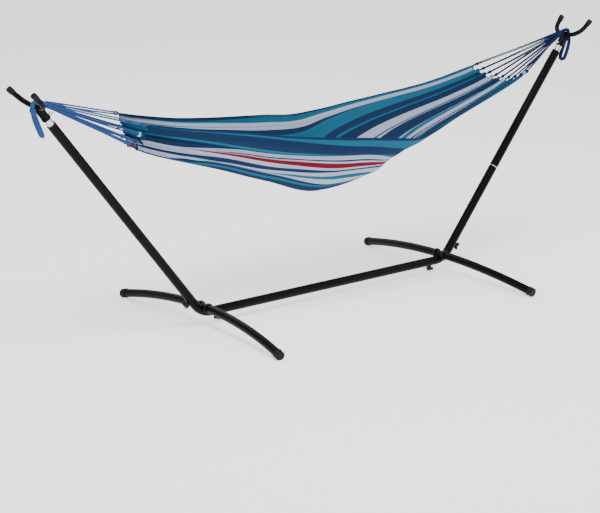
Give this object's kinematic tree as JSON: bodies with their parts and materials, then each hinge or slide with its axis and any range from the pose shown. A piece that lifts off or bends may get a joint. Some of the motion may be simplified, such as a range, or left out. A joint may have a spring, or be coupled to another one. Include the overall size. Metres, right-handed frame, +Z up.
{
  "type": "hammock on stand",
  "caption": "Striped cotton hammock hung by cord strings from forked hooks on a knock-down black tube stand with arched feet.",
  "frame": {"origin": "on the floor, under the middle of the beam, at the centre of the stand's outline", "axes": "+X along the stand towards the right hook, +Y to the rear, +Z up"},
  "size_m": [3.1258, 1.1692, 1.1316],
  "materials": {
    "black_steel": "satin powder coat",
    "plated_steel": "bright zinc plate",
    "black_plastic": "moulded",
    "black_rubber": "matte",
    "rope": "twisted cotton cord",
    "cotton": "plain weave with lengthwise stripes"
  },
  "bodies": {
    "stand": {"elbow_left": "black_steel", "beam_left": "black_steel", "upright_left_lower": "black_steel", "upright_left_upper": "black_steel", "upright_sleeve_left": "plated_steel", "spigot_left": "plated_steel", "top_bush_left": "black_plastic", "hook_left": "black_steel", "hitch_left": "rope", "eye_left": "rope", "foot_left_front": "black_steel", "foot_ring_left_front": "black_plastic", "foot_cap_left_front": "black_rubber", "prong_cap_left_front": "black_rubber", "foot_left_rear": "black_steel", "foot_ring_left_rear": "black_plastic", "foot_cap_left_rear": "black_rubber", "prong_cap_left_rear": "black_rubber", "elbow_right": "black_steel", "beam_right": "black_steel", "upright_right_lower": "black_steel", "upright_right_upper": "black_steel", "upright_sleeve_right": "plated_steel", "spigot_right": "plated_steel", "top_bush_right": "black_plastic", "hook_right": "black_steel", "hitch_right": "rope", "eye_right": "rope", "foot_right_front": "black_steel", "foot_ring_right_front": "black_plastic", "foot_cap_right_front": "black_rubber", "prong_cap_right_front": "black_rubber", "foot_right_rear": "black_steel", "foot_ring_right_rear": "black_plastic", "foot_cap_right_rear": "black_rubber", "prong_cap_right_rear": "black_rubber", "beam_sleeve": "plated_steel", "weld_nuts": "plated_steel"},
    "hammock": {"bed_fabric": "cotton", "strings_left": "rope", "bundle_left": "rope", "strings_right": "rope", "bundle_right": "rope"},
    "beam_knob_left": {"knob_beam_left": "black_plastic", "bolt_beam_left": "plated_steel"},
    "upright_knob_left": {"knob_upright_left": "black_plastic", "bolt_upright_left": "plated_steel"},
    "hook_screw_left": {"wing_screw_left": "plated_steel"},
    "beam_knob_right": {"knob_beam_right": "black_plastic", "bolt_beam_right": "plated_steel"},
    "upright_knob_right": {"knob_upright_right": "black_plastic", "bolt_upright_right": "plated_steel"},
    "hook_screw_right": {"wing_screw_right": "plated_steel"}
  },
  "joints": [
    {"name": "hammock_swing", "type": "hinge", "parent": "stand", "child": "hammock", "pos_m": [0, 0, 1.0727], "axis": [1, 0, 0], "range_deg": [-30, 30]},
    {"name": "beam_knob_left_turn", "type": "hinge", "parent": "stand", "child": "beam_knob_left", "pos_m": [-0.618, 0, 0.059], "axis": [0, 0, -1], "continuous": true},
    {"name": "upright_knob_left_turn", "type": "hinge", "parent": "stand", "child": "upright_knob_left", "pos_m": [-0.76017, 0, 0.12835], "axis": [-0.7881, 0, -0.6155], "continuous": true},
    {"name": "hook_screw_left_turn", "type": "hinge", "parent": "stand", "child": "hook_screw_left", "pos_m": [-1.44463, 0, 1.00474], "axis": [0.7881, 0, 0.6155], "continuous": true},
    {"name": "beam_knob_right_turn", "type": "hinge", "parent": "stand", "child": "beam_knob_right", "pos_m": [0.618, 0, 0.059], "axis": [0, 0, -1], "continuous": true},
    {"name": "upright_knob_right_turn", "type": "hinge", "parent": "stand", "child": "upright_knob_right", "pos_m": [0.76017, 0, 0.12835], "axis": [0.7881, 0, -0.6155], "continuous": true},
    {"name": "hook_screw_right_turn", "type": "hinge", "parent": "stand", "child": "hook_screw_right", "pos_m": [1.44463, 0, 1.00474], "axis": [-0.7881, 0, 0.6155], "continuous": true}
  ]
}
